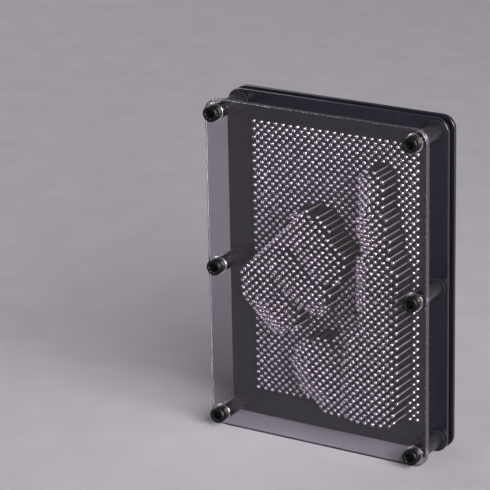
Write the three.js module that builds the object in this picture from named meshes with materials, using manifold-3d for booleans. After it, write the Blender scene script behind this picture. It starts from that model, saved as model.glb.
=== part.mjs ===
// A pin art impression toy: a field of loose steel pins in a pair of perforated plates, behind a clear
// cover that stands off on six screws. A hand pressed on the pins' tails leaves its shape in the heads.
// Millimetres. +Z is up, the clear cover faces -Y, and the toy stands on the bottom edges of its plates.
import * as THREE from "three";
import { mergeVertices } from "three/addons/utils/BufferGeometryUtils.js";
import Module from "manifold-3d";

const wasm = await Module();
wasm.setup();

// ---- driving dimensions -------------------------------------------------------------------------
const WIDTH = 127; // 5 in plates and cover
const HEIGHT = 177; // 7 in, near enough
const DEPTH = 57; // screw heads to the pins' tails, pins home
const CORNER_RADIUS = 7;
const SEAT = 0.1; // play between parts that are stacked on a screw

const HEAD_HEIGHT = 5; // M5 cap screw
const HEAD_RADIUS = 4.25;
const SCREW_RADIUS = 2.45;
const SOCKET_ACROSS_FLATS = 4;
const SOCKET_DEPTH = 3;
const SCREW_SPACING_X = 114;
const SCREW_SPACING_Z = 163.8;
const SCREW_HOLE_RADIUS = 2.75;

const WASHER_THICKNESS = 0.6;
const COVER_THICKNESS = 3.2;
const COVER_TO_PLATE = 19.3; // clear air between the cover and the front plate
const COLLAR_THICKNESS = 1;
const PLATE_THICKNESS = 2;
const FRAME_THICKNESS = 4.4; // spacer frame between the two plates
const FRAME_INSET = 1.6;
const FRAME_BAND = 9;
const NUT_THICKNESS = 3.4;
const NUT_ACROSS_FLATS = 8;
const SCREW_END = 0.6; // thread showing behind the nut

const PIN_COLUMNS = 45; // half-pitch columns: every other one starts half a pitch lower
const PIN_ROWS = 69;
const HALF_PITCH = 2.147;
const PIN_HEAD_THICKNESS = 1.2;
const GUIDE_RADIUS = 0.8; // one guide stands for the shafts of the pins around it
const GUIDE_HOLE_RADIUS = 1.15;
const GUIDES_PER_BANK = 2;
const BANK_GAP = 0.3; // between the heads of neighbouring banks

// ---- the stack, front to back -------------------------------------------------------------------
const HEAD_FRONT = -DEPTH / 2;
const HEAD_BACK = HEAD_FRONT + HEAD_HEIGHT;
const WASHER_FRONT = HEAD_BACK + SEAT;
const COVER_FRONT = WASHER_FRONT + WASHER_THICKNESS + SEAT;
const COVER_BACK = COVER_FRONT + COVER_THICKNESS;
const PLATE_FRONT = COVER_BACK + COVER_TO_PLATE;
const FRAME_FRONT = PLATE_FRONT + PLATE_THICKNESS + SEAT;
const REAR_PLATE_FRONT = FRAME_FRONT + FRAME_THICKNESS + SEAT;
const REAR_PLATE_BACK = REAR_PLATE_FRONT + PLATE_THICKNESS;
const NUT_FRONT = REAR_PLATE_BACK + SEAT;
const SCREW_BACK = NUT_FRONT + NUT_THICKNESS + SCREW_END;
const TAIL_END = DEPTH / 2; // tails of the pins that are home
const CENTRE_Z = HEIGHT / 2;

// ---- materials ----------------------------------------------------------------------------------
const material = (color, roughness, metalness, extra = {}) =>
  new THREE.MeshStandardMaterial({ color, roughness, metalness, ...extra });
const clearAcrylic = material(0xcfd8dc, 0.05, 0, { transparent: true, opacity: 0.3 });
const plateBlack = material(0x23222a, 0.35, 0.1);
const frameBlack = material(0x0b0b0d, 0.6, 0);
const postBlack = material(0x141318, 0.3, 0.1);
const screwBlack = material(0x1b1a1d, 0.35, 0.8);
const rubberBlack = material(0x0a0a0b, 0.85, 0);
const brightSteel = material(0xc9c7c4, 0.2, 1);
const pinSteel = material(0xb9b4ad, 0.25, 1);

// ---- shape helpers ------------------------------------------------------------------------------
// A plate outline in the XZ plane, centred on the screw pattern, with round corners.
function roundedRectangle(width, height, radius) {
  const x = width / 2;
  const z = height / 2;
  const shape = new THREE.Shape();
  shape.moveTo(x - radius, -z);
  shape.absarc(x - radius, -z + radius, radius, -Math.PI / 2, 0);
  shape.absarc(x - radius, z - radius, radius, 0, Math.PI / 2);
  shape.absarc(-x + radius, z - radius, radius, Math.PI / 2, Math.PI);
  shape.absarc(-x + radius, -z + radius, radius, Math.PI, 1.5 * Math.PI);
  return shape;
}

function regularHole(x, z, radius, sides, turn = 0) {
  const path = new THREE.Path();
  for (let n = 0; n < sides; n++) {
    const angle = turn - (2 * Math.PI * n) / sides;
    const point = [x + radius * Math.cos(angle), z + radius * Math.sin(angle)];
    if (n === 0) path.moveTo(...point);
    else path.lineTo(...point);
  }
  path.closePath();
  return path;
}

// A prism along Y, from an outline drawn in X and Z about the middle of the plates.
function prism(shape, front, back, curveSegments = 4) {
  const geometry = new THREE.ExtrudeGeometry(shape, {
    depth: back - front,
    bevelEnabled: false,
    curveSegments,
  });
  geometry.rotateX(Math.PI / 2);
  geometry.translate(0, back, CENTRE_Z);
  return geometry;
}

// A turned part on an axis along Y. The profile is a closed run of [radius, y] pairs.
function turned(profile, segments) {
  const points = profile.map(([r, y]) => new THREE.Vector2(r, y));
  return new THREE.LatheGeometry(points, segments);
}

// ---- boolean helpers ----------------------------------------------------------------------------
function toSolid(geometry) {
  const bare = geometry.clone();
  for (const name of Object.keys(bare.attributes)) {
    if (name !== "position") bare.deleteAttribute(name);
  }
  const merged = mergeVertices(bare, 1e-4);
  return new wasm.Manifold(
    new wasm.Mesh({
      numProp: 3,
      vertProperties: merged.attributes.position.array,
      triVerts: new Uint32Array(merged.index.array),
    }),
  );
}

function toGeometry(solid) {
  const mesh = solid.getMesh();
  const geometry = new THREE.BufferGeometry();
  geometry.setAttribute("position", new THREE.BufferAttribute(mesh.vertProperties, 3));
  geometry.setIndex(new THREE.BufferAttribute(mesh.triVerts, 1));
  return geometry;
}

// ---- scene graph --------------------------------------------------------------------------------
const toy = new THREE.Group();
toy.name = "pin_art_toy";

function add(name, geometry, pieceMaterial, x = 0, z = 0) {
  const mesh = new THREE.Mesh(geometry, pieceMaterial);
  mesh.name = name;
  mesh.position.set(x, 0, z);
  toy.add(mesh);
}

const screwPlaces = [];
for (const [row, level] of [["top", 1], ["middle", 0], ["bottom", -1]]) {
  for (const [side, direction] of [["left", -1], ["right", 1]]) {
    screwPlaces.push({
      name: `${row}_${side}`,
      x: (direction * SCREW_SPACING_X) / 2,
      z: (level * SCREW_SPACING_Z) / 2,
    });
  }
}

// ---- the impression: how far each pin stands forward --------------------------------------------
// Parts of a hand as round-ended bars [x, z] to [x, z], millimetres from the middle of the pin field.
// banks is how many pin banks share the pins that the bar has pushed forward.
const hand = [
  { name: "thumb_tip", from: [27.5, 54], to: [27.5, 41], radius: 7.6, lift: 14.5, banks: 1 },
  { name: "thumb_root", from: [28.5, 34], to: [31.5, 16], radius: 8.9, lift: 16, banks: 1 },
  { name: "thumb_pad", from: [31.5, 8], to: [32.5, -22], radius: 12, lift: 16.8, banks: 2 },
  { name: "palm", from: [28, -36], to: [26.5, -63], radius: 16.4, lift: 16.6, banks: 2 },
  { name: "palm_edge", from: [20, -27], to: [2, -50], radius: 10, lift: 10.4, banks: 1 },
  { name: "heel", from: [-2, -51], to: [10, -62], radius: 17.5, lift: 13.4, banks: 1 },
  { name: "knuckles", from: [-17, 20], to: [-43, -5], radius: 6.5, lift: 15.4, banks: 1 },
  { name: "index_finger", from: [-8, 22.5], to: [1.5, 9], radius: 12.2, lift: 16.9, banks: 2 },
  { name: "middle_finger", from: [-22.5, 5.5], to: [-6, -9.5], radius: 10.6, lift: 16.6, banks: 1 },
  { name: "ring_finger", from: [-37, -12], to: [-27, -22], radius: 13, lift: 14.4, banks: 1 },
  { name: "thumb_web", from: [12, 2], to: [12, -20], radius: 10.2, lift: 4.6, banks: 1 },
];
const EDGE_FALL = 0.2; // share of its lift that a bar has lost at its edge

// Middles of the flat stretches around the hand, in the same frame.
const flatFields = [
  { name: "top_left", at: [-36, 62] },
  { name: "top_middle", at: [-14, 62] },
  { name: "top_right", at: [10, 64] },
  { name: "corner_right", at: [40, 62] },
  { name: "upper_left", at: [-40, 38] },
  { name: "upper_middle", at: [-12, 38] },
  { name: "beside_thumb", at: [11, 24] },
  { name: "left_edge", at: [-44, 16] },
  { name: "right_edge", at: [46, 0] },
  { name: "palm_hollow", at: [-14, -32] },
  { name: "lower_left", at: [-40, -44] },
  { name: "bottom_left", at: [-31, -68] },
];

// Distance from a point to a bar's centre line, and how far along the bar its nearest point is.
function nearBar(x, z, bar) {
  const dx = bar.to[0] - bar.from[0];
  const dz = bar.to[1] - bar.from[1];
  const along = ((x - bar.from[0]) * dx + (z - bar.from[1]) * dz) / (dx * dx + dz * dz);
  const t = Math.min(1, Math.max(0, along));
  const distance = Math.hypot(x - bar.from[0] - t * dx, z - bar.from[1] - t * dz);
  return { distance, t };
}

// How far a pin stands forward, and the bank that it belongs to.
function pinState(x, z) {
  let lift = 0;
  let bank = null;
  for (const bar of hand) {
    const { distance, t } = nearBar(x, z, bar);
    if (distance >= bar.radius) continue;
    const raised = bar.lift * (1 - EDGE_FALL * (distance / bar.radius) ** 4);
    if (raised <= lift) continue;
    lift = raised;
    const part = Math.min(bar.banks - 1, Math.floor(t * bar.banks));
    bank = bar.banks > 1 ? `${bar.name}_${part + 1}` : bar.name;
  }
  if (bank) return { lift, bank };
  let nearest = Infinity;
  for (const field of flatFields) {
    const across = Math.abs(x - field.at[0] + z - field.at[1]);
    const down = Math.abs(x - field.at[0] - z + field.at[1]);
    const distance = Math.max(across, down);
    if (distance < nearest) {
      nearest = distance;
      bank = field.name;
    }
  }
  return { lift: 0, bank };
}

// Every pin sits at whole numbers (a, b) counted along the two diagonals of the pattern.
function pinBanks() {
  const banks = new Map();
  for (let row = 0; row < PIN_ROWS; row++) {
    for (let column = row % 2; column < PIN_COLUMNS; column += 2) {
      const x = (column - (PIN_COLUMNS - 1) / 2) * HALF_PITCH;
      const z = ((PIN_ROWS - 1) / 2 - row) * HALF_PITCH;
      const { lift, bank } = pinState(x, z);
      if (!banks.has(bank)) banks.set(bank, []);
      banks.get(bank).push({ a: (column + row) / 2, b: (column - row) / 2, x, z, lift });
    }
  }
  return banks;
}

// ---- the outline of a bank of pins --------------------------------------------------------------
// Each pin's cell is a unit square in (a, b), which is a diamond in X and Z. The walk keeps the bank
// on its left, turning left first where two cells meet at a corner.
const STEPS = [[1, 0], [0, 1], [-1, 0], [0, -1]];

function bankLoops(pins) {
  const key = (a, b) => `${a},${b}`;
  const inside = new Set(pins.map((pin) => key(pin.a, pin.b)));
  const edges = new Map();
  for (const { a, b } of pins) {
    const corners = [[a, b], [a + 1, b], [a + 1, b + 1], [a, b + 1]];
    const neighbours = [[a, b - 1], [a + 1, b], [a, b + 1], [a - 1, b]];
    for (let side = 0; side < 4; side++) {
      if (inside.has(key(...neighbours[side]))) continue;
      const start = key(...corners[side]);
      if (!edges.has(start)) edges.set(start, []);
      edges.get(start).push({ at: corners[side], side });
    }
  }
  const loops = [];
  while (edges.size) {
    const loop = [];
    let edge = edges.values().next().value[0];
    while (edge) {
      loop.push(edge);
      const start = key(...edge.at);
      const left = edges.get(start).filter((other) => other !== edge);
      if (left.length) edges.set(start, left);
      else edges.delete(start);
      const [da, db] = STEPS[edge.side];
      const choices = edges.get(key(edge.at[0] + da, edge.at[1] + db)) || [];
      const turn = (edge.side + 1) % 4;
      edge = choices.find((next) => next.side === turn) || choices[0];
    }
    loops.push(loop);
  }
  return loops;
}

// The corners of one loop, moved in by half the gap to the next bank, in X and Z.
function loopPoints(loop) {
  const inset = BANK_GAP / 2 / (HALF_PITCH * Math.SQRT2);
  const points = [];
  for (let n = 0; n < loop.length; n++) {
    const before = loop[(n + loop.length - 1) % loop.length];
    const after = loop[n];
    if (before.side === after.side) continue;
    const [a1, b1] = STEPS[(before.side + 1) % 4];
    const [a2, b2] = STEPS[(after.side + 1) % 4];
    const a = after.at[0] - 0.5 + inset * (a1 + a2);
    const b = after.at[1] - 0.5 + inset * (b1 + b2);
    const x = (a + b - (PIN_COLUMNS - 1) / 2) * HALF_PITCH;
    const z = ((PIN_ROWS - 1) / 2 - (a - b)) * HALF_PITCH;
    points.push(new THREE.Vector2(x, z));
  }
  return points;
}

function bankShape(pins) {
  const outlines = bankLoops(pins).map(loopPoints);
  outlines.sort((p, q) => Math.abs(THREE.ShapeUtils.area(q)) - Math.abs(THREE.ShapeUtils.area(p)));
  const shape = new THREE.Shape(outlines[0]);
  for (const hole of outlines.slice(1)) shape.holes.push(new THREE.Path(hole));
  return shape;
}

// The pins of a bank that its guides stand on, spread from its first pin to its last.
function guidePins(pins) {
  const chosen = [];
  for (let n = 0; n < GUIDES_PER_BANK; n++) {
    chosen.push(pins[Math.round(((n + 0.5) / GUIDES_PER_BANK) * (pins.length - 1))]);
  }
  return chosen;
}

function guideShaft(pin, front, back) {
  const shaft = new THREE.CylinderGeometry(GUIDE_RADIUS, GUIDE_RADIUS, back - front, 6);
  shaft.translate(pin.x, (front + back) / 2, pin.z + CENTRE_Z);
  return shaft;
}

// One bank: its heads as a slab between the lowest and the highest pin, and its guides behind it.
function bankGeometry(pins) {
  const lifts = pins.map((pin) => pin.lift);
  const least = Math.min(...lifts);
  const most = Math.max(...lifts);
  const back = PLATE_FRONT - SEAT - least;
  const front = PLATE_FRONT - SEAT - most - PIN_HEAD_THICKNESS;
  let solid = toSolid(prism(bankShape(pins), front, back));
  for (const pin of guidePins(pins)) {
    const middle = (front + back) / 2;
    solid = solid.add(toSolid(guideShaft(pin, middle, TAIL_END - least)));
  }
  return toGeometry(solid);
}

// ---- plates, cover and frame --------------------------------------------------------------------
const banks = pinBanks();
const guides = [...banks.values()].flatMap(guidePins);

function drilledPlate(width, height, radius, withGuideHoles) {
  const shape = roundedRectangle(width, height, radius);
  for (const place of screwPlaces) {
    shape.holes.push(regularHole(place.x, place.z, SCREW_HOLE_RADIUS, 12));
  }
  if (withGuideHoles) {
    for (const pin of guides) shape.holes.push(regularHole(pin.x, pin.z, GUIDE_HOLE_RADIUS, 6));
  }
  return shape;
}

function spacerFrame() {
  const width = WIDTH - 2 * FRAME_INSET;
  const height = HEIGHT - 2 * FRAME_INSET;
  const shape = drilledPlate(width, height, CORNER_RADIUS - FRAME_INSET, false);
  const x = width / 2 - FRAME_BAND;
  const z = height / 2 - FRAME_BAND;
  const window = [[x, z], [x, -z], [-x, -z], [-x, z]];
  shape.holes.push(new THREE.Path(window.map((point) => new THREE.Vector2(...point))));
  return shape;
}

const coverShape = drilledPlate(WIDTH, HEIGHT, CORNER_RADIUS, false);
const plateShape = drilledPlate(WIDTH, HEIGHT, CORNER_RADIUS, true);
add("clear_cover", prism(coverShape, COVER_FRONT, COVER_BACK), clearAcrylic);
add("front_plate", prism(plateShape, PLATE_FRONT, PLATE_FRONT + PLATE_THICKNESS), plateBlack);
add("spacer_frame", prism(spacerFrame(), FRAME_FRONT, FRAME_FRONT + FRAME_THICKNESS), frameBlack);
add("rear_plate", prism(plateShape, REAR_PLATE_FRONT, REAR_PLATE_BACK), plateBlack);

// ---- fasteners ----------------------------------------------------------------------------------
const CHAMFER = 0.5;
const POST_RADIUS = 4.1;
const POST_BORE = 2.75;
const COLLAR_RADIUS = 5.9;
const WASHER_RADIUS = 4.8;

function screwGeometry() {
  const body = turned(
    [
      [0, HEAD_FRONT],
      [HEAD_RADIUS - CHAMFER, HEAD_FRONT],
      [HEAD_RADIUS, HEAD_FRONT + CHAMFER],
      [HEAD_RADIUS, HEAD_BACK],
      [SCREW_RADIUS, HEAD_BACK],
      [SCREW_RADIUS, SCREW_BACK],
      [0, SCREW_BACK],
    ],
    16,
  );
  const across = SOCKET_ACROSS_FLATS / Math.sqrt(3);
  const socket = new THREE.CylinderGeometry(across, across, 2 * SOCKET_DEPTH, 6);
  socket.translate(0, HEAD_FRONT, 0);
  return toGeometry(toSolid(body).subtract(toSolid(socket)));
}

function ring(inner, outer, front, back) {
  const profile = [[inner, front], [outer, front], [outer, back], [inner, back], [inner, front]];
  return turned(profile, 16);
}

function nutGeometry() {
  const shape = new THREE.Shape();
  for (let n = 0; n < 6; n++) {
    const angle = (Math.PI * n) / 3;
    const radius = NUT_ACROSS_FLATS / Math.sqrt(3);
    const corner = [radius * Math.cos(angle), radius * Math.sin(angle)];
    if (n === 0) shape.moveTo(...corner);
    else shape.lineTo(...corner);
  }
  shape.closePath();
  shape.holes.push(regularHole(0, 0, SCREW_HOLE_RADIUS, 12));
  const nut = prism(shape, NUT_FRONT, NUT_FRONT + NUT_THICKNESS);
  nut.translate(0, 0, -CENTRE_Z);
  return nut;
}

const COLLAR_FRONT = PLATE_FRONT - SEAT - COLLAR_THICKNESS;
for (const { name, x, z } of screwPlaces) {
  const washer = ring(SCREW_HOLE_RADIUS, WASHER_RADIUS, WASHER_FRONT, WASHER_FRONT + WASHER_THICKNESS);
  const post = ring(POST_BORE, POST_RADIUS, COVER_BACK + SEAT, COLLAR_FRONT - SEAT);
  const collar = ring(POST_BORE, COLLAR_RADIUS, COLLAR_FRONT, PLATE_FRONT - SEAT);
  add(`screw_${name}`, screwGeometry(), screwBlack, x, CENTRE_Z + z);
  add(`washer_${name}`, washer, brightSteel, x, CENTRE_Z + z);
  add(`post_${name}`, post, postBlack, x, CENTRE_Z + z);
  add(`collar_${name}`, collar, rubberBlack, x, CENTRE_Z + z);
  add(`nut_${name}`, nutGeometry(), screwBlack, x, CENTRE_Z + z);
}

// ---- pins ---------------------------------------------------------------------------------------
for (const [name, pins] of banks) {
  add(`pins_${name}`, bankGeometry(pins), pinSteel);
}

export default toy;
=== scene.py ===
"""The looks of a pin art impression toy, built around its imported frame.

Metres. +Z is up, and the clear cover faces -Y. Every piece takes its place from the frame's boxes.
"""
import math
import random

import bpy
from mathutils import Matrix, Vector
from mathutils.geometry import delaunay_2d_cdt


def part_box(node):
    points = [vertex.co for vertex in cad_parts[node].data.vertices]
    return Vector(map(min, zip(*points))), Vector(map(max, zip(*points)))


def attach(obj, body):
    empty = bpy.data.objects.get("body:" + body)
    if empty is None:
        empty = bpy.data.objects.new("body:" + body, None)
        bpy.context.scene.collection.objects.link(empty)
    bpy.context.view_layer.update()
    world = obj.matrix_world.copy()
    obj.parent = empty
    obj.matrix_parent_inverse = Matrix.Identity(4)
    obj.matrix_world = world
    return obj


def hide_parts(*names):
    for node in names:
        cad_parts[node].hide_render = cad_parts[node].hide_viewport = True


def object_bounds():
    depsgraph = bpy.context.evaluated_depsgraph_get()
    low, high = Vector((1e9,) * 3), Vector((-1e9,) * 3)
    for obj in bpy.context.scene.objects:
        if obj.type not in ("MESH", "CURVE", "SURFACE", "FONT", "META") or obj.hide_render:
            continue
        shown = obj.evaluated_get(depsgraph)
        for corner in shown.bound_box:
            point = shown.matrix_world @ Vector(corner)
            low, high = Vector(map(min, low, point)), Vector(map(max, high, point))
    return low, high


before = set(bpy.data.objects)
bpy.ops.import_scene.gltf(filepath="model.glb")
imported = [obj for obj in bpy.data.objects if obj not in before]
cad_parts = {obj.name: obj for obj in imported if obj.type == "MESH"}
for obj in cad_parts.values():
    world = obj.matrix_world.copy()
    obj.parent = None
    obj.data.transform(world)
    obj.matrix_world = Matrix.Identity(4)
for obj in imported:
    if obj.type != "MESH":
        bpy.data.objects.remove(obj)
cad_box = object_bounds()
random.seed(7)

MM = 0.001
FIXED = "frame"  # the body that the cover, plates and screws belong to

# ---- sizes, as the frame has them ------------------------------------------------------------------
COVER_LOW, COVER_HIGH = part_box("clear_cover")
SPACER_LOW, SPACER_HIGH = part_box("spacer_frame")
WIDTH = COVER_HIGH.x - COVER_LOW.x
HEIGHT = COVER_HIGH.z - COVER_LOW.z
CENTRE_Z = (COVER_HIGH.z + COVER_LOW.z) / 2
PLATE_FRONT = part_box("front_plate")[0].y
TAIL_END = cad_box[1].y

CORNER_RADIUS = 7 * MM
SCREW_HOLE_RADIUS = 2.75 * MM
SPACER_BAND = 9 * MM
COVER_BEVEL = 0.35 * MM
PLATE_BEVEL = 0.3 * MM
SPACER_BEVEL = 0.25 * MM
SEAT_GAP = 0.1 * MM  # under the pins' heads and under the screws' heads

ROWS = ("top", "middle", "bottom")
SIDES = ("left", "right")
PLACES = [f"{row}_{side}" for row in ROWS for side in SIDES]


def axis_of(place):
    """X and Z of a screw's axis."""
    low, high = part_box(f"screw_{place}")
    return (low.x + high.x) / 2, (low.z + high.z) / 2


SCREW_AXES = [(x, z - CENTRE_Z) for x, z in map(axis_of, PLACES)]  # from the plates' middle


# ---- the impression, as the CAD model has it -------------------------------------------------------
PIN_COLUMNS = 45
PIN_ROWS = 69
HALF_PITCH = 2.147 * MM
EDGE_FALL = 0.2  # the share of its lift that a bar loses at its edge
EDGE_POWER = 4  # how late on the way out it loses it

# Parts of a hand as round-ended bars: name, from, to, radius, lift and banks, in millimetres from the
# middle of the pin field.
HAND = [
    ("thumb_tip", (27.5, 54), (27.5, 41), 7.6, 14.5, 1),
    ("thumb_root", (28.5, 34), (31.5, 16), 8.9, 16, 1),
    ("thumb_pad", (31.5, 8), (32.5, -22), 12, 16.8, 2),
    ("palm", (28, -36), (26.5, -63), 16.4, 16.6, 2),
    ("palm_edge", (20, -27), (2, -50), 10, 10.4, 1),
    ("heel", (-2, -51), (10, -62), 17.5, 13.4, 1),
    ("knuckles", (-17, 20), (-43, -5), 6.5, 15.4, 1),
    ("index_finger", (-8, 22.5), (1.5, 9), 12.2, 16.9, 2),
    ("middle_finger", (-22.5, 5.5), (-6, -9.5), 10.6, 16.6, 1),
    ("ring_finger", (-37, -12), (-27, -22), 13, 14.4, 1),
    ("thumb_web", (12, 2), (12, -20), 10.2, 4.6, 1),
]

# Middles of the flat stretches around the hand, in the same frame.
FLAT_FIELDS = [
    ("top_left", (-36, 62)),
    ("top_middle", (-14, 62)),
    ("top_right", (10, 64)),
    ("corner_right", (40, 62)),
    ("upper_left", (-40, 38)),
    ("upper_middle", (-12, 38)),
    ("beside_thumb", (11, 24)),
    ("left_edge", (-44, 16)),
    ("right_edge", (46, 0)),
    ("palm_hollow", (-14, -32)),
    ("lower_left", (-40, -44)),
    ("bottom_left", (-31, -68)),
]


def near_bar(x, z, start, end):
    """Distance from a point to a bar's centre line, and how far along the bar its nearest point is."""
    dx, dz = end[0] - start[0], end[1] - start[1]
    along = ((x - start[0]) * dx + (z - start[1]) * dz) / (dx * dx + dz * dz)
    t = min(1.0, max(0.0, along))
    return math.hypot(x - start[0] - t * dx, z - start[1] - t * dz), t


def pin_state(x, z):
    """How far forward a pin stands, in millimetres, and the bank that it belongs to."""
    lift, bank = 0.0, None
    for name, start, end, radius, most, banks in HAND:
        distance, t = near_bar(x, z, start, end)
        if distance >= radius:
            continue
        raised = most * (1 - EDGE_FALL * (distance / radius) ** EDGE_POWER)
        if raised <= lift:
            continue
        lift = raised
        part = min(banks - 1, math.floor(t * banks))
        bank = f"{name}_{part + 1}" if banks > 1 else name
    if bank:
        return lift, bank
    nearest = math.inf
    for name, (fx, fz) in FLAT_FIELDS:
        distance = max(abs(x - fx + z - fz), abs(x - fx - z + fz))
        if distance < nearest:
            nearest, bank = distance, name
    return 0.0, bank


def pin_at(column, row):
    """X and Z of a place in the lattice, from the middle of the field, in metres."""
    x = (column - (PIN_COLUMNS - 1) / 2) * HALF_PITCH
    z = ((PIN_ROWS - 1) / 2 - row) * HALF_PITCH
    return x, z


def pin_places():
    """Every pin as (x, z), row by row from the top left. Every other row is shifted by half a pitch."""
    for row in range(PIN_ROWS):
        for column in range(row % 2, PIN_COLUMNS, 2):
            yield pin_at(column, row)


# ---- mesh helpers ----------------------------------------------------------------------------------
SHARP = math.radians(38)  # edges that turn further than this stay crisp
PLATE_SHARP = math.radians(12)  # on flat sheets, so that a face stays flat right up to its bevels


def make_piece(name, vertices, faces, material, slot, body, *nodes, sharp=SHARP):
    """A mesh piece with smooth shading, riding on a body and standing for CAD nodes."""
    mesh = bpy.data.meshes.new(name)
    mesh.from_pydata(vertices, [], faces)
    mesh.shade_smooth()
    mesh.set_sharp_from_angle(angle=sharp)
    mesh.materials.append(material)
    piece = bpy.data.objects.new(name, mesh)
    bpy.context.scene.collection.objects.link(piece)
    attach(piece, body)
    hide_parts(*nodes)
    return piece


def ring_of(radius_at, y_at, samples, x, z):
    """One ring of points round an axis along Y. The radius and y may change with the angle."""
    points = []
    for n in range(samples):
        angle = 2 * math.pi * n / samples
        radius = radius_at(angle) if callable(radius_at) else radius_at
        y = y_at(angle) if callable(y_at) else y_at
        points.append((x + radius * math.cos(angle), y, z + radius * math.sin(angle)))
    return points


def lathe(rings, first=0, front_tip=None, back_tip=None, closed=False):
    """Vertices and faces of a turned solid: rings from front to back, closed by tips or by a loop.

    first is the number of vertices that the mesh has already.
    """
    samples = len(rings[0])
    vertices = [point for ring in rings for point in ring]
    faces = []
    spans = len(rings) if closed else len(rings) - 1
    for level in range(spans):
        here = first + level * samples
        there = first + (level + 1) % len(rings) * samples
        for n in range(samples):
            after = (n + 1) % samples
            faces.append((here + n, there + n, there + after, here + after))
    if front_tip is not None:
        tip = first + len(vertices)
        vertices.append(front_tip)
        faces += [(tip, first + n, first + (n + 1) % samples) for n in range(samples)]
    if back_tip is not None:
        tip = first + len(vertices)
        last = first + (len(rings) - 1) * samples
        vertices.append(back_tip)
        faces += [(tip, last + (n + 1) % samples, last + n) for n in range(samples)]
    return vertices, faces


def round_edge(radius, y, bevel, steps, radial, along):
    """A rounded edge as (radius, y) pairs. radial and along are the directions to the edge, +1 or -1."""
    pairs = []
    for n in range(steps + 1):
        angle = math.pi / 2 * n / steps
        inward = bevel * (1 - math.sin(angle))
        back = bevel * (1 - math.cos(angle))
        pairs.append((radius - radial * inward, y - along * back))
    return pairs


# ---- flat plates with holes ------------------------------------------------------------------------
CORNER_STEPS = 10
PLATE_EDGE_STEPS = 3
SCREW_HOLE_SAMPLES = 40
PIN_HOLE_RADIUS = 0.8 * MM
PIN_HOLE_SAMPLES = 10
MERGE_DISTANCE = 1e-9  # closer points than this count as one
FACING = 0.9  # a face whose normal leans less than this along Y belongs to a sheet's edge


def outline_loop(width, height, radius):
    """A round-cornered rectangle about the screw pattern's middle, as a function of the inset."""

    def points(inset):
        made = []
        for turn, (sx, sz) in enumerate([(1, 1), (-1, 1), (-1, -1), (1, -1)]):
            cx, cz = sx * (width / 2 - radius), sz * (height / 2 - radius)
            for step in range(CORNER_STEPS + 1):
                angle = math.pi / 2 * (turn + step / CORNER_STEPS)
                reach = radius - inset
                made.append((cx + reach * math.cos(angle), cz + reach * math.sin(angle)))
        return made

    return points


def hole_loop(x, z, radius, samples):
    """A round hole as a function of the inset, which widens it."""

    def points(inset):
        reach = radius + inset
        turns = [2 * math.pi * n / samples for n in range(samples)]
        return [(x + reach * math.cos(a), z + reach * math.sin(a)) for a in turns]

    return points


def window_loop(x, z):
    """A rectangular window of half width x and half height z, as a function of the inset."""

    def points(inset):
        return [(sx * (x + inset), sz * (z + inset)) for sx, sz in [(1, 1), (-1, 1), (-1, -1), (1, -1)]]

    return points


def bevelled_levels(front, back, bevel):
    """(inset, y) from the front face round to the back face, with a quarter round at each edge."""
    levels = round_edge(0.0, front, bevel, PLATE_EDGE_STEPS, -1, -1)
    return levels + [(inset, front + back - y) for inset, y in reversed(levels)]


def plate_mesh(outline, holes, plain_holes, is_solid, front, back, bevel):
    """A flat plate between two y values. outline and holes have rounded edges, plain_holes don't."""
    vertices, faces, flat_points, flat_edges = [], [], [], []
    front_index, back_index = [], []
    levels = bevelled_levels(front, back, bevel)
    plain_levels = [(0.0, front), (0.0, back)]
    groups = [([outline], levels, 1), (holes, levels, -1), (plain_holes, plain_levels, -1)]
    for loops, its_levels, way in groups:
        for loop in loops:
            start = len(vertices)
            count = len(loop(0.0))
            for inset, y in its_levels:
                vertices += [(x, y, z + CENTRE_Z) for x, z in loop(inset)]
            for level in range(len(its_levels) - 1):
                here, there = start + level * count, start + (level + 1) * count
                for n in range(count):
                    after = (n + 1) % count
                    face = (here + n, there + n, there + after, here + after)
                    faces.append(face if way > 0 else face[::-1])
            first = len(flat_points)
            flat_points += [Vector(point) for point in loop(its_levels[0][0])]
            flat_edges += [(first + n, first + (n + 1) % count) for n in range(count)]
            front_index += range(start, start + count)
            last = start + (len(its_levels) - 1) * count
            back_index += range(last, last + count)
    spots, _, triangles, origins, _, _ = delaunay_2d_cdt(
        flat_points, flat_edges, [], 0, MERGE_DISTANCE
    )
    for triangle in triangles:
        middle = sum((spots[v] for v in triangle), Vector((0.0, 0.0))) / 3
        if not is_solid(middle.x, middle.y):
            continue
        corners = [origins[v][0] for v in triangle]
        faces.append([front_index[v] for v in corners])
        faces.append([back_index[v] for v in reversed(corners)])
    return vertices, faces


def clear_of_screws(x, z):
    """True if a point isn't in a screw's hole."""
    return all(math.hypot(x - sx, z - sz) > SCREW_HOLE_RADIUS for sx, sz in SCREW_AXES)


def clear_of_pins(x, z):
    """True if a point isn't in a pin's hole. Only the holes next to it are looked at."""
    column = round(x / HALF_PITCH + (PIN_COLUMNS - 1) / 2)
    row = round((PIN_ROWS - 1) / 2 - z / HALF_PITCH)
    for c in range(column - 1, column + 2):
        for r in range(row - 1, row + 2):
            if (c - r) % 2 or not (0 <= c < PIN_COLUMNS and 0 <= r < PIN_ROWS):
                continue
            pin_x, pin_z = pin_at(c, r)
            if math.hypot(x - pin_x, z - pin_z) < PIN_HOLE_RADIUS:
                return False
    return True


def screw_hole_loops():
    return [hole_loop(x, z, SCREW_HOLE_RADIUS, SCREW_HOLE_SAMPLES) for x, z in SCREW_AXES]


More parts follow.
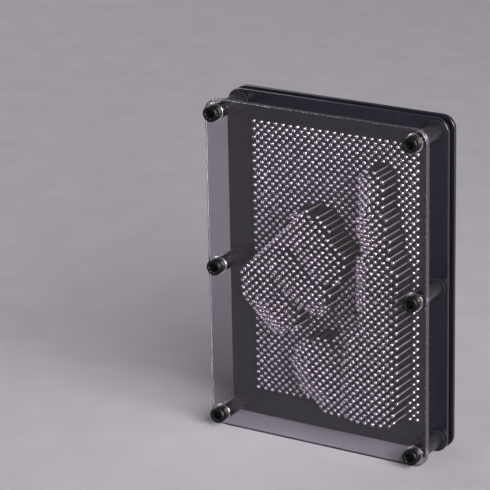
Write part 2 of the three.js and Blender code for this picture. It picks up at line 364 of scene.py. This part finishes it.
def make_cover(material, edge_material):
    """The clear cover, with its sawn edges and the walls of its holes in a duller material."""
    mesh = plate_mesh(
        outline_loop(WIDTH, HEIGHT, CORNER_RADIUS),
        screw_hole_loops(),
        [],
        clear_of_screws,
        COVER_LOW.y,
        COVER_HIGH.y,
        COVER_BEVEL,
    )
    piece = make_piece(
        "cover_panel", *mesh, material, "clear_acrylic", FIXED, "clear_cover", sharp=PLATE_SHARP
    )
    piece.data.materials.append(edge_material)
    for face in piece.data.polygons:
        if abs(face.normal.y) < FACING:
            face.material_index = 1


def make_plates(material):
    """The two perforated plates, with every pin's hole."""
    pin_holes = [hole_loop(x, z, PIN_HOLE_RADIUS, PIN_HOLE_SAMPLES) for x, z in pin_places()]
    for node in ("front_plate", "rear_plate"):
        low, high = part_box(node)
        mesh = plate_mesh(
            outline_loop(WIDTH, HEIGHT, CORNER_RADIUS),
            screw_hole_loops(),
            pin_holes,
            lambda x, z: clear_of_screws(x, z) and clear_of_pins(x, z),
            low.y,
            high.y,
            PLATE_BEVEL,
        )
        make_piece(f"{node}_panel", *mesh, material, "plate_black", FIXED, node, sharp=PLATE_SHARP)


def make_spacer(material):
    """The open frame that keeps the plates apart."""
    width = SPACER_HIGH.x - SPACER_LOW.x
    height = SPACER_HIGH.z - SPACER_LOW.z
    inset = (WIDTH - width) / 2
    window_x, window_z = width / 2 - SPACER_BAND, height / 2 - SPACER_BAND
    mesh = plate_mesh(
        outline_loop(width, height, CORNER_RADIUS - inset),
        screw_hole_loops() + [window_loop(window_x, window_z)],
        [],
        lambda x, z: clear_of_screws(x, z) and not (abs(x) < window_x and abs(z) < window_z),
        SPACER_LOW.y,
        SPACER_HIGH.y,
        SPACER_BEVEL,
    )
    make_piece("spacer_panel", *mesh, material, "frame_black", FIXED, "spacer_frame", sharp=PLATE_SHARP)


# ---- pins ------------------------------------------------------------------------------------------
PIN_HEAD_RADIUS = 1.15 * MM
PIN_HEAD_RIM = 0.12 * MM
PIN_HEAD_HEIGHT = 1.2 * MM
PIN_SHAFT_RADIUS = 0.3 * MM
PIN_TIP_CHAMFER = 0.13 * MM
PIN_NECK = 17.5 * MM  # the stretch of shaft that can come out in front of the plate
OPEN_STEP = 4  # a pin this many mm above the next ones stands at an open side of the relief
PIN_SAMPLES = 12
DOME_STEPS = 3
PIN_PLAY = 0.09 * MM  # sideways, in its hole
LIFT_PLAY = 0.25 * MM
SMALLEST_HEAD = 0.94  # as a share of the largest
# The third material is painted shade: a dark stand-in for the shade between the necks inside the relief.
HEAD, SHAFT, PAINTED_SHADE_NECK = range(3)  # the order of a bank's materials


def pin_rings(x, z, under_head, tail, scale):
    """One pin: a domed head, a straight shaft and a chamfered tail."""
    head = PIN_HEAD_RADIUS * scale
    dome = (PIN_HEAD_HEIGHT - PIN_HEAD_RIM) * scale
    profile = []
    for n in range(1, DOME_STEPS + 1):
        angle = math.pi / 2 * n / DOME_STEPS
        profile.append((head * math.sin(angle), under_head - PIN_HEAD_RIM - dome * math.cos(angle)))
    profile += [
        (head, under_head),
        (PIN_SHAFT_RADIUS, under_head),
        (PIN_SHAFT_RADIUS, under_head + PIN_NECK),
        (PIN_SHAFT_RADIUS, tail - PIN_TIP_CHAMFER),
        (PIN_SHAFT_RADIUS - PIN_TIP_CHAMFER, tail),
    ]
    rings = [ring_of(radius, y, PIN_SAMPLES, x, z) for radius, y in profile]
    return rings, (x, under_head - PIN_HEAD_RIM - dome, z), (x, tail, z)


def stands_open(x, z, lift):
    """True for a pin well above both the next one on its right and the one up and to the right. Such a
    pin's neck keeps the wire's colour; the others get painted shade.
    """
    step = HALF_PITCH / MM
    beside = [pin_state(x + 2 * step, z)[0], pin_state(x + step, z + step)[0]]
    return lift - max(beside) > OPEN_STEP


def make_pins(head_material, shaft_material, painted_shade_material):
    """Each bank as one piece. The stretch in front of the plate has the wire's own colour only at an
    open side, and painted shade everywhere else.
    """
    banks = {}
    for x, z in pin_places():
        lift, bank = pin_state(x / MM, z / MM)
        # Necks at an open side keep the wire's colour; the rest are painted shade.
        neck_or_painted_shade = SHAFT if stands_open(x / MM, z / MM, lift) else PAINTED_SHADE_NECK
        banks.setdefault(bank, []).append((x, z, lift * MM, neck_or_painted_shade))
    for bank, pins in banks.items():
        least = min(lift for _, _, lift, _ in pins)
        most = max(lift for _, _, lift, _ in pins)
        vertices, faces, face_materials = [], [], []
        for x, z, lift, neck_or_painted_shade in pins:
            px = x + random.uniform(-PIN_PLAY, PIN_PLAY)
            pz = z + random.uniform(-PIN_PLAY, PIN_PLAY)
            lift = min(most, max(least, lift + random.uniform(-LIFT_PLAY, LIFT_PLAY)))
            scale = random.uniform(SMALLEST_HEAD, 1.0)
            under_head = PLATE_FRONT - SEAT_GAP - lift
            rings, front_tip, back_tip = pin_rings(px, pz + CENTRE_Z, under_head, TAIL_END - lift, scale)
            new_vertices, new_faces = lathe(rings, len(vertices), front_tip, back_tip)
            vertices += new_vertices
            faces += new_faces
            bands = [HEAD] * (DOME_STEPS + 1) + [neck_or_painted_shade, SHAFT, SHAFT]
            tips = [HEAD, SHAFT]
            face_materials += [index for index in bands + tips for _ in range(PIN_SAMPLES)]
        node = f"pins_{bank}"
        piece = make_piece(f"loose_{node}", vertices, faces, head_material, "pin_steel", node, node)
        piece.data.materials.append(shaft_material)
        piece.data.materials.append(painted_shade_material)
        piece.data.polygons.foreach_set("material_index", face_materials)


# ---- fasteners -------------------------------------------------------------------------------------
TURNED_SAMPLES = 120
TUBE_SAMPLES = 64
TUBE_EDGE_STEPS = 2

SOCKET_ACROSS_FLATS = 4.4 * MM
SOCKET_DEPTH = 3 * MM
SOCKET_POINT = 0.7 * MM  # the drill's cone below the socket
SOCKET_LEAD = 0.35 * MM
SOCKET_MOUTH_RADIUS = 2.75 * MM

# A screw head's turned edges at its front and its seat, as (in from the knurl's tips, along from that
# end) in millimetres.
CROWN = [(0.75, 0), (0.42, 0.06), (0.18, 0.25), (0.06, 0.6), (0.06, 0.95)]
FOOT = [(0.17, 0.35), (0.17, 0.15), (0.35, 0)]
KNURL_FRONT = 1.15 * MM  # from the head's front
KNURL_BACK = 0.55 * MM  # from its seat
KNURL_FLUTES = 30
KNURL_DEPTH = 0.17 * MM

SHANK_RADIUS = 2.45 * MM
FILLET_WIDTH = 0.15 * MM
FILLET_LENGTH = 0.2 * MM
THREAD_PITCH = 0.8 * MM
THREAD_DEPTH = 0.4 * MM
THREAD_SHOWN = 2.2 * MM
THREAD_RINGS = 22
THREAD_LEAD = 0.1 * MM
THREAD_RUN_OUT = 0.35 * MM
SHANK_END_RADIUS = SHANK_RADIUS - 1.6 * THREAD_DEPTH

NUT_ACROSS_FLATS = 8 * MM
NUT_FACE_RADIUS = NUT_ACROSS_FLATS / 2 * 0.985
NUT_CORNER_SLOPE = math.tan(math.radians(30))
NUT_LEAD = 0.35 * MM


def hexagon(across_flats):
    """The radius of a hexagon at an angle."""

    def radius_at(angle):
        off_flat = (angle % (math.pi / 3)) - math.pi / 6
        return across_flats / 2 / math.cos(off_flat)

    return radius_at


def knurled(radius):
    """The radius of a straight-knurled cylinder at an angle, with its ridges pointed."""

    def radius_at(angle):
        phase = (angle * KNURL_FLUTES / (2 * math.pi)) % 1
        return radius - KNURL_DEPTH * abs(2 * phase - 1)

    return radius_at


def threaded(radius, y):
    """The radius of a thread at an angle, on the ring at y."""

    def radius_at(angle):
        phase = (y / THREAD_PITCH - angle / (2 * math.pi)) % 1
        return radius - THREAD_DEPTH * abs(2 * phase - 1)

    return radius_at


def screw_profile(head, front, seat, back):
    """A cap screw as (radius, y): out of its socket, round its head and down its shank."""
    socket = hexagon(SOCKET_ACROSS_FLATS)
    profile = [
        (socket, front + SOCKET_DEPTH),
        (socket, front + SOCKET_LEAD),
        (SOCKET_MOUTH_RADIUS, front),
    ]
    profile += [(head - inset * MM, front + along * MM) for inset, along in CROWN]
    profile.append((knurled(head), front + KNURL_FRONT))
    profile.append((knurled(head), seat - KNURL_BACK))
    profile += [(head - inset * MM, seat - along * MM) for inset, along in FOOT]
    thread_start = back - THREAD_SHOWN
    profile += [
        (SHANK_RADIUS + FILLET_WIDTH, seat),
        (SHANK_RADIUS, seat + FILLET_LENGTH),
        (SHANK_RADIUS, thread_start - THREAD_LEAD),
    ]
    for n in range(THREAD_RINGS):
        y = thread_start + (THREAD_SHOWN - THREAD_RUN_OUT) * n / (THREAD_RINGS - 1)
        profile.append((threaded(SHANK_RADIUS, y), y))
    profile.append((SHANK_RADIUS - THREAD_DEPTH, back - THREAD_LEAD))
    profile.append((SHANK_END_RADIUS, back))
    return profile


def make_screw(place, material):
    """A knurled socket cap screw, its head on the washer and its thread's end past the nut."""
    x, z = axis_of(place)
    low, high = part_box(f"screw_{place}")
    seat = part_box(f"washer_{place}")[0].y - SEAT_GAP
    profile = screw_profile((high.x - low.x) / 2, low.y, seat, high.y)
    rings = [ring_of(radius, y, TURNED_SAMPLES, x, z) for radius, y in profile]
    socket_end = (x, low.y + SOCKET_DEPTH + SOCKET_POINT, z)
    mesh = lathe(rings, 0, socket_end, (x, high.y, z))
    make_piece(f"cap_screw_{place}", *mesh, material, "screw_black", FIXED, f"screw_{place}")


def tube_profile(outer, front, back, bevel):
    """A closed run of (radius, y) round a tube's wall, with all four edges rounded."""
    inner = SCREW_HOLE_RADIUS
    outside = round_edge(outer, front, bevel, TUBE_EDGE_STEPS, 1, -1)
    outside += reversed(round_edge(outer, back, bevel, TUBE_EDGE_STEPS, 1, 1))
    inside = round_edge(inner, back, bevel, TUBE_EDGE_STEPS, -1, 1)
    inside += reversed(round_edge(inner, front, bevel, TUBE_EDGE_STEPS, -1, -1))
    return outside + inside


def make_tube(node, name, bevel, material, slot):
    """A washer, post or collar: a tube as long and as wide as its CAD node."""
    low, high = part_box(node)
    x, z = (low.x + high.x) / 2, (low.z + high.z) / 2
    profile = tube_profile((high.x - low.x) / 2, low.y, high.y, bevel)
    rings = [ring_of(radius, y, TUBE_SAMPLES, x, z) for radius, y in profile]
    make_piece(name, *lathe(rings, closed=True), material, slot, FIXED, node)


def make_nut(place, material):
    """A hexagon nut, its corners turned down on both faces and its bore countersunk."""
    low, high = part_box(f"nut_{place}")
    x, z = axis_of(place)
    flats = hexagon(NUT_ACROSS_FLATS)

    def fall(angle):
        return (flats(angle) - NUT_FACE_RADIUS) * NUT_CORNER_SLOPE

    bore = SCREW_HOLE_RADIUS
    profile = [
        (bore, low.y + NUT_LEAD),
        (bore + NUT_LEAD, low.y),
        (NUT_FACE_RADIUS, low.y),
        (flats, lambda angle: low.y + fall(angle)),
        (flats, lambda angle: high.y - fall(angle)),
        (NUT_FACE_RADIUS, high.y),
        (bore + NUT_LEAD, high.y),
        (bore, high.y - NUT_LEAD),
    ]
    rings = [ring_of(radius, y, TURNED_SAMPLES, x, z) for radius, y in profile]
    mesh = lathe(rings, closed=True)
    make_piece(f"hex_nut_{place}", *mesh, material, "screw_black", FIXED, f"nut_{place}")


# ---- materials -------------------------------------------------------------------------------------
NOISE_LOW, NOISE_HIGH = 0.3, 0.7  # nearly all of a noise lies between these

# Colours as (dark, light), which a noise runs between.
SMOKE_TINT = ((0.53, 0.495, 0.55), (0.56, 0.525, 0.58))
PLATE_BLACK = ((0.003, 0.0028, 0.0048), (0.005, 0.0047, 0.0075))
SPACER_BLACK = ((0.0003, 0.0003, 0.0003), (0.0007, 0.0007, 0.0007))
POST_BLACK = ((0.005, 0.0045, 0.006), (0.009, 0.008, 0.011))
OXIDE_BLACK = ((0.001, 0.001, 0.001), (0.006, 0.0055, 0.006))
RUBBER_BLACK = ((0.002, 0.002, 0.002), (0.004, 0.004, 0.004))
WASHER_PLATING = ((0.58, 0.57, 0.57), (0.72, 0.71, 0.70))
PIN_PLATING = ((0.80, 0.775, 0.77), (0.88, 0.86, 0.85))
DRAWN_WIRE = ((0.245, 0.21, 0.185), (0.315, 0.27, 0.24))
SHADED_WIRE = ((0.003, 0.0025, 0.0025), (0.007, 0.006, 0.006))  # stands for the shade between pins
STUDIO_PAPER = ((0.148, 0.144, 0.15), (0.158, 0.154, 0.16))

ACRYLIC_INDEX = 1.49
ACRYLIC_CLOUDS = 0.02 * MM  # height of the waves in its surface
SMOKE_IN_DEPTH = (0.5, 0.45, 0.58, 1)
SMOKE_DENSITY = 30.0  # absorption per metre, which darkens the long way out through an edge
SHADOW_PASS = (0.92, 0.92, 0.92, 1)


class Look:
    """A Principled material with a short way to hang noise on it."""

    def __init__(self, name, **values):
        self.material = bpy.data.materials.new(name)
        self.material.use_nodes = True
        self.tree = self.material.node_tree
        self.shader = self.tree.nodes["Principled BSDF"]
        self.output = self.tree.nodes["Material Output"]
        self.place = self.tree.nodes.new("ShaderNodeTexCoord").outputs["Object"]
        for socket, value in values.items():
            self.shader.inputs[socket.replace("_", " ")].default_value = value

    def link(self, source, target):
        self.tree.links.new(source, target)

    def noise(self, scale, detail, stretch=(1, 1, 1)):
        """Noise in the part's own frame: scale is features per metre, and stretch divides it by axis."""
        mapping = self.tree.nodes.new("ShaderNodeMapping")
        mapping.inputs["Scale"].default_value = [1 / s for s in stretch]
        self.link(self.place, mapping.inputs["Vector"])
        texture = self.tree.nodes.new("ShaderNodeTexNoise")
        texture.inputs["Scale"].default_value = scale
        texture.inputs["Detail"].default_value = detail
        self.link(mapping.outputs["Vector"], texture.inputs["Vector"])
        return texture.outputs["Fac"]

    def spread(self, source, low, high, start=NOISE_LOW, end=NOISE_HIGH):
        """A source that runs from start to end, stretched between two numbers."""
        remap = self.tree.nodes.new("ShaderNodeMapRange")
        remap.inputs["From Min"].default_value = start
        remap.inputs["From Max"].default_value = end
        remap.inputs["To Min"].default_value = low
        remap.inputs["To Max"].default_value = high
        self.link(source, remap.inputs["Value"])
        return remap.outputs["Result"]

    def colours(self, source, dark, light, start=NOISE_LOW, end=NOISE_HIGH):
        """A source that runs from start to end, turned into colours."""
        ramp = self.tree.nodes.new("ShaderNodeValToRGB")
        for element, position, colour in zip(ramp.color_ramp.elements, (start, end), (dark, light)):
            element.position = position
            element.color = (*colour, 1)
        self.link(source, ramp.inputs["Fac"])
        return ramp.outputs["Color"]

    def bump(self, height, distance):
        node = self.tree.nodes.new("ShaderNodeBump")
        node.inputs["Strength"].default_value = 1.0
        node.inputs["Distance"].default_value = distance
        self.link(height, node.inputs["Height"])
        self.link(node.outputs["Normal"], self.shader.inputs["Normal"])

    def feed(self, socket, source):
        self.link(source, self.shader.inputs[socket])


def acrylic_look(name, roughness, transmission):
    """Cast acrylic with a smoke tint. Shadow rays pass it, so the lamps light what is behind it."""
    look = Look(name, IOR=ACRYLIC_INDEX, Transmission_Weight=transmission, Roughness=roughness)
    look.feed("Base Color", look.colours(look.noise(9, 1.0), *SMOKE_TINT))
    look.bump(look.noise(24, 1.0), ACRYLIC_CLOUDS)
    smoke = look.tree.nodes.new("ShaderNodeVolumeAbsorption")
    smoke.inputs["Color"].default_value = SMOKE_IN_DEPTH
    smoke.inputs["Density"].default_value = SMOKE_DENSITY
    look.link(smoke.outputs["Volume"], look.output.inputs["Volume"])
    through = look.tree.nodes.new("ShaderNodeBsdfTransparent")
    through.inputs["Color"].default_value = SHADOW_PASS
    path = look.tree.nodes.new("ShaderNodeLightPath")
    mix = look.tree.nodes.new("ShaderNodeMixShader")
    look.link(path.outputs["Is Shadow Ray"], mix.inputs["Fac"])
    look.link(look.shader.outputs["BSDF"], mix.inputs[1])
    look.link(through.outputs["BSDF"], mix.inputs[2])
    look.link(mix.outputs["Shader"], look.output.inputs["Surface"])
    return look.material


def plate_look():
    """Glossy black acrylic sheet with a faint violet cast and upright rub marks."""
    look = Look("plate_black", IOR=ACRYLIC_INDEX)
    look.feed("Base Color", look.colours(look.noise(16, 3.0), *PLATE_BLACK))
    rub = look.noise(700, 2.0, stretch=(1, 1, 40))
    look.feed("Roughness", look.spread(rub, 0.16, 0.26))
    look.bump(look.noise(1400, 1.0), 0.004 * MM)
    return look.material


def spacer_look():
    """Matt black board."""
    look = Look("frame_black", IOR=1.45, Specular_IOR_Level=0.02)
    grain = look.noise(1500, 3.0)
    look.feed("Base Color", look.colours(grain, *SPACER_BLACK))
    look.feed("Roughness", look.spread(grain, 0.5, 0.7))
    look.bump(grain, 0.03 * MM)
    return look.material


def post_look():
    """Extruded black tube: a soft gloss with fine marks along its length."""
    look = Look("post_black", IOR=1.5)
    marks = look.noise(2600, 2.0, stretch=(1, 30, 1))
    look.feed("Base Color", look.colours(marks, *POST_BLACK))
    look.feed("Roughness", look.spread(marks, 0.22, 0.34))
    look.bump(marks, 0.008 * MM)
    return look.material


def screw_look():
    """Oiled black oxide steel, worn a little lighter on its ridges."""
    look = Look("screw_black", IOR=1.45, Specular_IOR_Level=0.2)
    ridge = look.tree.nodes.new("ShaderNodeNewGeometry").outputs["Pointiness"]
    patch = look.noise(900, 3.0)
    worn = look.tree.nodes.new("ShaderNodeMath")
    worn.operation = "MULTIPLY"
    look.link(look.spread(ridge, 0.0, 1.0, start=0.52, end=0.6), worn.inputs[0])
    look.link(look.spread(patch, 0.2, 1.0), worn.inputs[1])
    colours = look.colours(worn.outputs["Value"], *OXIDE_BLACK, start=0.0, end=1.0)
    look.feed("Base Color", colours)
    look.feed("Roughness", look.spread(patch, 0.24, 0.36))
    look.bump(look.noise(3500, 2.0), 0.008 * MM)
    return look.material


def rubber_look():
    """Dull black rubber with a fine grain."""
    look = Look("rubber_black", IOR=1.5, Specular_IOR_Level=0.15)
    grain = look.noise(2200, 3.0)
    look.feed("Base Color", look.colours(grain, *RUBBER_BLACK))
    look.feed("Roughness", look.spread(grain, 0.62, 0.8))
    look.bump(grain, 0.04 * MM)
    return look.material


def washer_look():
    """Bright plated steel with a fine grain."""
    look = Look("washer_steel", Metallic=1.0)
    grain = look.noise(3000, 2.0)
    look.feed("Base Color", look.colours(grain, *WASHER_PLATING))
    look.feed("Roughness", look.spread(grain, 0.15, 0.28))
    look.bump(grain, 0.006 * MM)
    return look.material


def pin_by_pin(look):
    """Noise that changes from pin to pin, and hardly at all along a pin."""
    return look.noise(230, 0.0, stretch=(1, 40, 1))


def pin_head_look():
    """Polished nickel plate: each head a little different."""
    look = Look("pin_heads", Metallic=1.0)
    each = pin_by_pin(look)
    look.feed("Base Color", look.colours(each, *PIN_PLATING))
    look.feed("Roughness", look.spread(each, 0.18, 0.24))
    return look.material


def wire_look(name, colours, **values):
    """Drawn wire, warmer and flatter than the heads, with fine marks along it. With SHADED_WIRE its
    colour is painted shade, not the wire's.
    """
    look = Look(name, **values)
    look.feed("Base Color", look.colours(pin_by_pin(look), *colours))
    marks = look.noise(4000, 1.0, stretch=(1, 12, 1))
    look.feed("Roughness", look.spread(marks, 0.34, 0.5))
    return look.material


def floor_look():
    """Plain grey studio paper without any gloss."""
    look = Look("studio_floor", Specular_IOR_Level=0.0)
    paper = look.noise(40, 4.0)
    look.feed("Base Color", look.colours(paper, *STUDIO_PAPER))
    look.feed("Roughness", look.spread(paper, 0.7, 0.8))
    return look.material


# ---- stage, lights and camera ----------------------------------------------------------------------
FLOOR_HALF_WIDTH = 4.0

# Name, direction from the middle of the toy, distance, width, height and watts.
SOFTBOXES = [
    ("key_softbox", (0.82, -0.42, 0.40), 2.4, 2.1, 1.8, 370),
    ("fill_softbox", (-0.67, -0.52, 0.4), 2.0, 1.0, 1.2, 22),
    ("back_softbox", (-0.75, 0.45, 0.5), 2.0, 1.2, 1.0, 28),
]
LAMP_COLOUR = (1.0, 0.965, 1.0)
WORLD_COLOUR = (0.88, 0.86, 1.0, 1)
WORLD_STRENGTH = 0.13

AZIMUTH = math.radians(32.09)
ELEVATION = math.radians(19.05)
ROLL = math.radians(-1.17)
CAMERA_DISTANCE = 1.3935  # from a point just before the front plate's middle
TARGET_BEFORE_PLATE = 0.6 * MM
CAMERA_RIGHT = -46.65 * MM  # the toy stands to the right of the picture's middle
CAMERA_UP = 12.78 * MM
LENS_MM = 200.8
SENSOR_MM = 36.0
CLIP_START = 0.01
CLIP_END = 50


def make_floor(material):
    """A wide square of studio paper under the toy."""
    half = FLOOR_HALF_WIDTH
    mesh = bpy.data.meshes.new("studio_floor")
    corners = [(-half, -half, 0), (half, -half, 0), (half, half, 0), (-half, half, 0)]
    mesh.from_pydata(corners, [], [(0, 1, 2, 3)])
    mesh.materials.append(material)
    floor = bpy.data.objects.new("studio_floor", mesh)
    bpy.context.scene.collection.objects.link(floor)


def aim(obj, location, target):
    """Put a lamp at a place and turn it to a point."""
    obj.location = location
    obj.rotation_euler = (Vector(target) - Vector(location)).to_track_quat("-Z", "Y").to_euler()


def make_softbox(name, direction, distance, width, height, watts):
    """A rectangular softbox that looks at the middle of the toy."""
    light = bpy.data.lights.new(name, "AREA")
    light.shape = "RECTANGLE"
    light.size = width
    light.size_y = height
    light.energy = watts
    light.color = LAMP_COLOUR
    lamp = bpy.data.objects.new(name, light)
    lamp.visible_camera = False
    bpy.context.scene.collection.objects.link(lamp)
    middle = Vector((0, 0, CENTRE_Z))
    aim(lamp, middle + Vector(direction).normalized() * distance, middle)


def make_lights():
    world = bpy.data.worlds.new("studio")
    world.use_nodes = True
    background = world.node_tree.nodes["Background"]
    background.inputs["Color"].default_value = WORLD_COLOUR
    background.inputs["Strength"].default_value = WORLD_STRENGTH
    bpy.context.scene.world = world
    for softbox in SOFTBOXES:
        make_softbox(*softbox)


def make_camera():
    """A long lens in front of the toy, to its right and above it, rolled by a degree."""
    back = Vector(
        (
            math.sin(AZIMUTH) * math.cos(ELEVATION),
            -math.cos(AZIMUTH) * math.cos(ELEVATION),
            math.sin(ELEVATION),
        )
    )
    level = Vector((math.cos(AZIMUTH), math.sin(AZIMUTH), 0))
    upright = back.cross(level)
    right = level * math.cos(ROLL) + upright * math.sin(ROLL)
    up = upright * math.cos(ROLL) - level * math.sin(ROLL)
    target = Vector((0, PLATE_FRONT - TARGET_BEFORE_PLATE, CENTRE_Z))
    place = target + back * CAMERA_DISTANCE + right * CAMERA_RIGHT + up * CAMERA_UP
    turn = Matrix((right, up, back)).transposed().to_4x4()
    data = bpy.data.cameras.new("camera")
    data.lens = LENS_MM
    data.sensor_width = SENSOR_MM
    data.clip_start = CLIP_START
    data.clip_end = CLIP_END
    camera = bpy.data.objects.new("camera", data)
    camera.matrix_world = Matrix.Translation(place) @ turn
    bpy.context.scene.collection.objects.link(camera)
    bpy.context.scene.camera = camera


# ---- the whole toy ---------------------------------------------------------------------------------
make_camera()
make_lights()
make_floor(floor_look())
make_cover(acrylic_look("clear_acrylic", 0.01, 1.0), acrylic_look("sawn_acrylic", 0.25, 0.97))
make_plates(plate_look())
make_spacer(spacer_look())
make_pins(
    pin_head_look(),
    wire_look("pin_shafts", DRAWN_WIRE, Metallic=0.6),
    # Painted shade for the necks inside the relief.
    wire_look("pin_necks_painted_shade", SHADED_WIRE, Specular_IOR_Level=0.2),
)

# A tube on each screw: CAD node, piece, edge radius, look and slot.
TUBES = [
    ("washer", "flat_washer", 0.2 * MM, washer_look(), "washer_steel"),
    ("post", "stand_off", 0.2 * MM, post_look(), "post_black"),
    ("collar", "rubber_collar", 0.35 * MM, rubber_look(), "rubber_black"),
]
screw_material = screw_look()
for place in PLACES:
    make_screw(place, screw_material)
    for node, name, bevel, material, slot in TUBES:
        make_tube(f"{node}_{place}", f"{name}_{place}", bevel, material, slot)
    make_nut(place, screw_material)

bpy.context.scene.view_settings.view_transform = "Standard"
